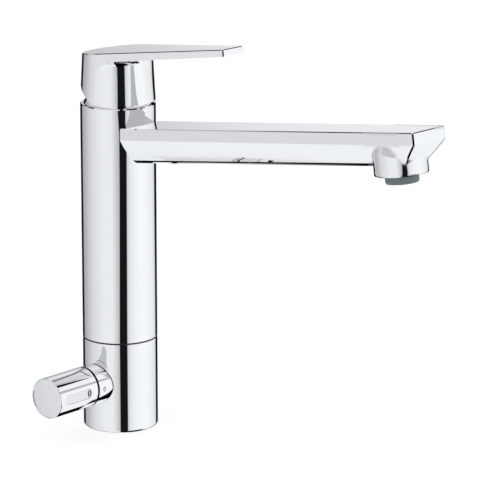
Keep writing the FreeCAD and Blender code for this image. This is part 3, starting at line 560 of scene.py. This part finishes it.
def plastic(name, pale, deep, rough, scale, bump):
    made, g = material(name)
    shader = g.node("ShaderNodeBsdfPrincipled")
    grain = noise(g, scale, PLASTIC_DETAIL)
    g.link(g.mix(grain, deep, pale), shader.inputs["Base Color"])
    g.link(g.between(grain, *rough), shader.inputs["Roughness"])
    finish_surface(g, shader, grain, bump, PLASTIC_RELIEF)
    return made


finishes = {"chrome": metal("chrome", **CHROME)}
finishes.update({name: metal(name, **look) for name, look in METALS.items()})
finishes.update({name: plastic(name, **look) for name, look in PLASTICS.items()})

shaped = {
    "spout": metal("chrome_casting", **CHROME, soften=soft_nozzle, shade=mouth_bore_shade),
    "cover_cap": metal("chrome_cover", **CHROME, shade=cover_skirt_shade),
    "lever": metal("chrome_lever", **CHROME, shade=lever_inside_shade),
    "base_body": metal("chrome_base", **CHROME, shade=base_shade),
    "valve_grip": metal("chrome_grip", **CHROME, shade=grip_shade),
    "valve_grip_cap": metal("chrome_cap", **CHROME, soften=flat_pole),
}

for name, node in frame["nodes"].items():
    slot = node.data.materials[0].name
    node.data.materials[0] = shaped.get(name, finishes[slot])


# Generic marks: a nought on the collar and a tick in the pointer

MARK_STEPS = 40
INK_HEIGHT = 0.03 * MM
NOUGHT_PLACE = 27.4 * MM
NOUGHT_HALF_WIDTH = 1.0 * MM
NOUGHT_HALF_HEIGHT = 1.5 * MM
NOUGHT_LINE = 0.45 * MM
TICK_PLACE = POINTER_START + 1.9 * MM
TICK_HALF_WIDTH = 0.55 * MM
TICK_HALF_HEIGHT = 1.9 * MM
TICK_CORNER = 4.0
TICK_CORE = 0.02

ink = plastic("ink", **INK)


def on_valve(across, height, outward):
    """Point of the valve: sideways, above its axis, and outward from the column."""
    return valve_across * across + valve_out * outward + Vector((0, 0, VALVE_HEIGHT + height))


def mark_turns():
    return [2 * math.pi * i / MARK_STEPS for i in range(MARK_STEPS)]


def nought_rim(inset, rise):
    """Oval on the round side of the collar."""
    radius = VALVE_RADIUS + rise
    points = []
    for turn in mark_turns():
        lift = (NOUGHT_HALF_HEIGHT - inset) * math.sin(turn) / VALVE_RADIUS
        outward = NOUGHT_PLACE + (NOUGHT_HALF_WIDTH - inset) * math.cos(turn)
        points.append(on_valve(radius * math.cos(lift), radius * math.sin(lift), outward))
    return points


def squared(value):
    """Sine or cosine of an oval with full corners."""
    return math.copysign(abs(value) ** (2 / TICK_CORNER), value)


def tick_rim(scale, rise):
    """Short upright bar on the flat floor of the pointer."""
    points = []
    for turn in mark_turns():
        outward = TICK_PLACE + TICK_HALF_WIDTH * scale * squared(math.cos(turn))
        height = TICK_HALF_HEIGHT * scale * squared(math.sin(turn))
        points.append(on_valve(POINTER_FLOOR + rise, height, outward))
    return points


def add_mark(name, body, rim, inner, outer):
    """Closed strip of ink between an inner and an outer rim, from just below the surface to just above."""
    mesh = bpy.data.meshes.new(name)
    made = bmesh.new()
    sunk_inner, sunk_outer, proud_inner, proud_outer = [
        [made.verts.new(point) for point in rim(edge, rise)]
        for rise in (-INK_HEIGHT, INK_HEIGHT)
        for edge in (inner, outer)
    ]
    walls = (
        (sunk_inner, sunk_outer),
        (sunk_outer, proud_outer),
        (proud_outer, proud_inner),
        (proud_inner, sunk_inner),
    )
    for first, second in walls:
        for i in range(MARK_STEPS):
            after = (i + 1) % MARK_STEPS
            made.faces.new((first[i], first[after], second[after], second[i]))
    bmesh.ops.recalc_face_normals(made, faces=made.faces)
    made.to_mesh(mesh)
    made.free()
    mesh.materials.append(ink)
    mark = bpy.data.objects.new(name, mesh)
    scene.collection.objects.link(mark)
    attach(mark, body)


add_mark("collar_mark", "tap_base", nought_rim, NOUGHT_LINE, 0.0)
add_mark("pointer_mark", "valve_handle", tick_rim, TICK_CORE, 1.0)


# Floor: white to the camera, with the faint shadow of the part on it

FLOOR_HALF = 8.0
FLOOR_DROP = 0.05 * MM
FLOOR_MOTTLE = 6.0
FLOOR_DETAIL = 3.0
FLOOR_DEEP = (0.90, 0.90, 0.90, 1)
FLOOR_PALE = (0.93, 0.93, 0.93, 1)
FLOOR_SHADED = (0.6, 0.6, 0.6, 1)
FLOOR_GLOW = (0.69, 0.69, 0.69, 1)


def blend_shaders(g, factor, first, second):
    made = g.node("ShaderNodeMixShader")
    g.link(factor, made.inputs[0])
    g.link(first.outputs[0], made.inputs[1])
    g.link(second.outputs[0], made.inputs[2])
    return made


def floor_material():
    """Pale floor, lifted to white for the camera and clear from below."""
    made, g = material("floor")
    diffuse = g.node("ShaderNodeBsdfDiffuse")
    mottle = noise(g, FLOOR_MOTTLE, FLOOR_DETAIL)
    g.link(g.mix(mottle, FLOOR_DEEP, FLOOR_PALE), diffuse.inputs["Color"])
    shaded = g.node("ShaderNodeBsdfDiffuse")
    shaded.inputs["Color"].default_value = FLOOR_SHADED
    glow = g.node("ShaderNodeEmission")
    glow.inputs["Color"].default_value = FLOOR_GLOW
    glow.inputs["Strength"].default_value = 1.0
    lifted = g.node("ShaderNodeAddShader")
    g.link(shaded.outputs[0], lifted.inputs[0])
    g.link(glow.outputs[0], lifted.inputs[1])
    seen = g.node("ShaderNodeLightPath").outputs["Is Camera Ray"]
    shown = blend_shaders(g, seen, diffuse, lifted)
    below = g.node("ShaderNodeNewGeometry").outputs["Backfacing"]
    faced = blend_shaders(g, below, shown, g.node("ShaderNodeBsdfTransparent"))
    out = g.node("ShaderNodeOutputMaterial")
    g.link(faced.outputs[0], out.inputs["Surface"])
    return made


def make_floor():
    corners = [(-1, -1), (1, -1), (1, 1), (-1, 1)]
    mesh = bpy.data.meshes.new("floor")
    mesh.from_pydata([(x * FLOOR_HALF, y * FLOOR_HALF, 0) for x, y in corners], [], [(0, 1, 2, 3)])
    mesh.materials.append(floor_material())
    floor = bpy.data.objects.new("floor", mesh)
    floor.location.z = -FLOOR_DROP
    floor.visible_glossy = False
    scene.collection.objects.link(floor)


make_floor()
